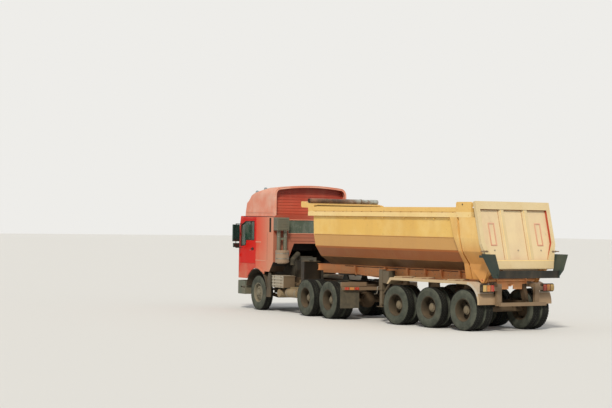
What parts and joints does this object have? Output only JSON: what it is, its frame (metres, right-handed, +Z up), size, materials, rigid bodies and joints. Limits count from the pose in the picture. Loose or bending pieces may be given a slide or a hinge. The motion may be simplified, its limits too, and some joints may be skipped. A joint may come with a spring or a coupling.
{
  "type": "articulated tipper lorry",
  "caption": "Articulated tipper: high-roof forward-control tractor with a tipping semi-trailer, U-shaped body, hoist, tail gate, opening doors and tilting cab.",
  "frame": {"origin": "middle of the whole vehicle's footprint on the road, with the tractor at its rest angle to the trailer", "axes": "+X along the trailer towards its front, +Y to its left, +Z up; the tractor is turned 8.5 degrees to the right about the kingpin"},
  "size_m": [12.7353, 3.7102, 3.782],
  "materials": {
    "trailer_orange": "worn paint, dusty",
    "chassis_rust": "dirty, rusted",
    "guard_cream": "dusty paint",
    "body_yellow": "dusty, rust stained paint",
    "gate_cream": "dusty paint",
    "dark_steel": "dirty dark paint",
    "grey_steel": "dusty paint",
    "chrome_rod": "polished, oily",
    "tyre": "dusty rubber",
    "cab_red": "faded gloss paint",
    "glass": "dusty",
    "interior": "matt",
    "tarp": "weathered canvas",
    "tank_brown": "dirty paint",
    "bumper_grey": "dusty plastic",
    "lamp_bar": "dusty paint"
  },
  "bodies": {
    "trailer": {"trailer_frame": "trailer_orange", "landing_legs": "dark_steel", "trailer_axles": "chassis_rust", "trailer_mudguards": "guard_cream", "underrun_frame": "lamp_bar"},
    "tipping_body": {"body_tub": "body_yellow", "body_rails": "body_yellow", "body_posts": "body_yellow", "spill_guard": "dark_steel", "tarp_roll": "tarp"},
    "tailgate": {"tailgate": "gate_cream"},
    "hoist_barrel": {"hoist_barrel": "grey_steel"},
    "hoist_stage_1": {"hoist_stage_1": "chrome_rod"},
    "hoist_stage_2": {"hoist_stage_2": "chrome_rod"},
    "hoist_stage_3": {"hoist_stage_3": "chrome_rod"},
    "hoist_stage_4": {"hoist_stage_4": "chrome_rod"},
    "hoist_stage_5": {"hoist_stage_5": "chrome_rod"},
    "tractor": {"tractor_frame": "chassis_rust", "fifth_wheel": "dark_steel", "drive_axles": "chassis_rust", "front_axle": "chassis_rust", "engine_block": "grey_steel", "front_bumper": "bumper_grey", "battery_box": "lamp_bar", "air_tanks": "dark_steel", "fuel_tank": "grey_steel", "hydraulic_tank": "tank_brown", "rear_lamp_bar": "lamp_bar", "mud_panels": "tank_brown"},
    "cab": {"cab_floor_pan": "cab_red", "cab_shell": "cab_red", "cab_roof": "cab_red", "cab_glass": "glass", "cab_interior": "interior", "intake_stack": "bumper_grey"},
    "door_left": {"door_left": "cab_red", "door_glass_left": "glass"},
    "door_right": {"door_right": "cab_red", "door_glass_right": "glass"},
    "knuckle_left": {"knuckle_left": "dark_steel"},
    "knuckle_right": {"knuckle_right": "dark_steel"},
    "wheel_t1_left": {"wheel_t1_left": "tyre"},
    "wheel_t1_right": {"wheel_t1_right": "tyre"},
    "wheel_t2_left": {"wheel_t2_left": "tyre"},
    "wheel_t2_right": {"wheel_t2_right": "tyre"},
    "wheel_t3_left": {"wheel_t3_left": "tyre"},
    "wheel_t3_right": {"wheel_t3_right": "tyre"},
    "wheel_s_left": {"wheel_s_left": "tyre"},
    "wheel_s_right": {"wheel_s_right": "tyre"},
    "wheel_d1_left": {"wheel_d1_left": "tyre"},
    "wheel_d1_right": {"wheel_d1_right": "tyre"},
    "wheel_d2_left": {"wheel_d2_left": "tyre"},
    "wheel_d2_right": {"wheel_d2_right": "tyre"}
  },
  "joints": [
    {"name": "articulation", "type": "hinge", "parent": "trailer", "child": "tractor", "pos_m": [0.8855, 0.423, 1.25], "axis": [0, 0, 1], "range_deg": [-51.5, 68.5]},
    {"name": "body_tilt", "type": "hinge", "parent": "trailer", "child": "tipping_body", "pos_m": [-5.5645, 0.423, 1.29], "axis": [0, -1, 0], "range_deg": [0, 45]},
    {"name": "tailgate_hinge", "type": "hinge", "parent": "tipping_body", "child": "tailgate", "pos_m": [-5.1435, 0.423, 3.205], "axis": [0, 1, 0], "range_deg": [0, 70]},
    {"name": "hoist_pivot", "type": "hinge", "parent": "trailer", "child": "hoist_barrel", "pos_m": [1.8955, 0.423, 1.4], "axis": [0, -1, 0], "range_deg": [0, 22.51]},
    {"name": "hoist_slide_1", "type": "slide", "parent": "hoist_barrel", "child": "hoist_stage_1", "axis": [-0.1192, 0, 0.9929], "range_m": [0, 1.11254]},
    {"name": "hoist_slide_2", "type": "slide", "parent": "hoist_stage_1", "child": "hoist_stage_2", "axis": [-0.1192, 0, 0.9929], "range_m": [0, 1.11254]},
    {"name": "hoist_slide_3", "type": "slide", "parent": "hoist_stage_2", "child": "hoist_stage_3", "axis": [-0.1192, 0, 0.9929], "range_m": [0, 1.11254]},
    {"name": "hoist_slide_4", "type": "slide", "parent": "hoist_stage_3", "child": "hoist_stage_4", "axis": [-0.1192, 0, 0.9929], "range_m": [0, 1.11254]},
    {"name": "hoist_slide_5", "type": "slide", "parent": "hoist_stage_4", "child": "hoist_stage_5", "axis": [-0.1192, 0, 0.9929], "range_m": [0, 1.11254]},
    {"name": "spin_t1_left", "type": "hinge", "parent": "trailer", "child": "wheel_t1_left", "pos_m": [-2.4845, 1.397, 0.53], "axis": [0, 1, 0], "continuous": true},
    {"name": "spin_t1_right", "type": "hinge", "parent": "trailer", "child": "wheel_t1_right", "pos_m": [-2.4845, -0.551, 0.53], "axis": [0, 1, 0], "continuous": true},
    {"name": "spin_t2_left", "type": "hinge", "parent": "trailer", "child": "wheel_t2_left", "pos_m": [-3.8345, 1.397, 0.53], "axis": [0, 1, 0], "continuous": true},
    {"name": "spin_t2_right", "type": "hinge", "parent": "trailer", "child": "wheel_t2_right", "pos_m": [-3.8345, -0.551, 0.53], "axis": [0, 1, 0], "continuous": true},
    {"name": "spin_t3_left", "type": "hinge", "parent": "trailer", "child": "wheel_t3_left", "pos_m": [-5.1845, 1.397, 0.53], "axis": [0, 1, 0], "continuous": true},
    {"name": "spin_t3_right", "type": "hinge", "parent": "trailer", "child": "wheel_t3_right", "pos_m": [-5.1845, -0.551, 0.53], "axis": [0, 1, 0], "continuous": true},
    {"name": "steer_left", "type": "hinge", "parent": "tractor", "child": "knuckle_left", "pos_m": [4.9024, 0.71244, 0.53], "axis": [0, 0, 1], "range_deg": [-36, 36]},
    {"name": "steer_right", "type": "hinge", "parent": "tractor", "child": "knuckle_right", "pos_m": [4.64226, -1.02822, 0.53], "axis": [0, 0, 1], "range_deg": [-36, 36]},
    {"name": "spin_s_left", "type": "hinge", "parent": "knuckle_left", "child": "wheel_s_left", "pos_m": [4.92532, 0.86574, 0.53], "axis": [0.1478, 0.989, 0], "continuous": true},
    {"name": "spin_s_right", "type": "hinge", "parent": "knuckle_right", "child": "wheel_s_right", "pos_m": [4.61935, -1.18152, 0.53], "axis": [0.1478, 0.989, 0], "continuous": true},
    {"name": "spin_d1_left", "type": "hinge", "parent": "tractor", "child": "wheel_d1_left", "pos_m": [1.69705, 1.28653, 0.53], "axis": [0.1478, 0.989, 0], "continuous": true},
    {"name": "spin_d1_right", "type": "hinge", "parent": "tractor", "child": "wheel_d1_right", "pos_m": [1.40912, -0.64007, 0.53], "axis": [0.1478, 0.989, 0], "continuous": true},
    {"name": "spin_d2_left", "type": "hinge", "parent": "tractor", "child": "wheel_d2_left", "pos_m": [0.36188, 1.48607, 0.53], "axis": [0.1478, 0.989, 0], "continuous": true},
    {"name": "spin_d2_right", "type": "hinge", "parent": "tractor", "child": "wheel_d2_right", "pos_m": [0.07395, -0.44053, 0.53], "axis": [0.1478, 0.989, 0], "continuous": true},
    {"name": "cab_tilt", "type": "hinge", "parent": "tractor", "child": "cab", "pos_m": [6.07783, -0.353, 0.96], "axis": [0.1478, 0.989, 0], "range_deg": [0, 50]},
    {"name": "door_hinge_left", "type": "hinge", "parent": "cab", "child": "door_left", "pos_m": [6.09268, 0.91675, 1.965], "axis": [0, 0, -1], "range_deg": [0, 70]},
    {"name": "door_hinge_right", "type": "hinge", "parent": "cab", "child": "door_right", "pos_m": [5.72079, -1.57161, 1.965], "axis": [0, 0, 1], "range_deg": [0, 70]}
  ],
  "couplings": [
    {"joint": "hoist_pivot", "follows": "body_tilt", "ratio": 0.5},
    {"joint": "hoist_slide_1", "follows": "body_tilt", "m_per_rad": 1.4159},
    {"joint": "hoist_slide_2", "follows": "body_tilt", "m_per_rad": 1.4159},
    {"joint": "hoist_slide_3", "follows": "body_tilt", "m_per_rad": 1.4159},
    {"joint": "hoist_slide_4", "follows": "body_tilt", "m_per_rad": 1.4159},
    {"joint": "hoist_slide_5", "follows": "body_tilt", "m_per_rad": 1.4159},
    {"joint": "steer_right", "follows": "steer_left", "ratio": 1}
  ]
}
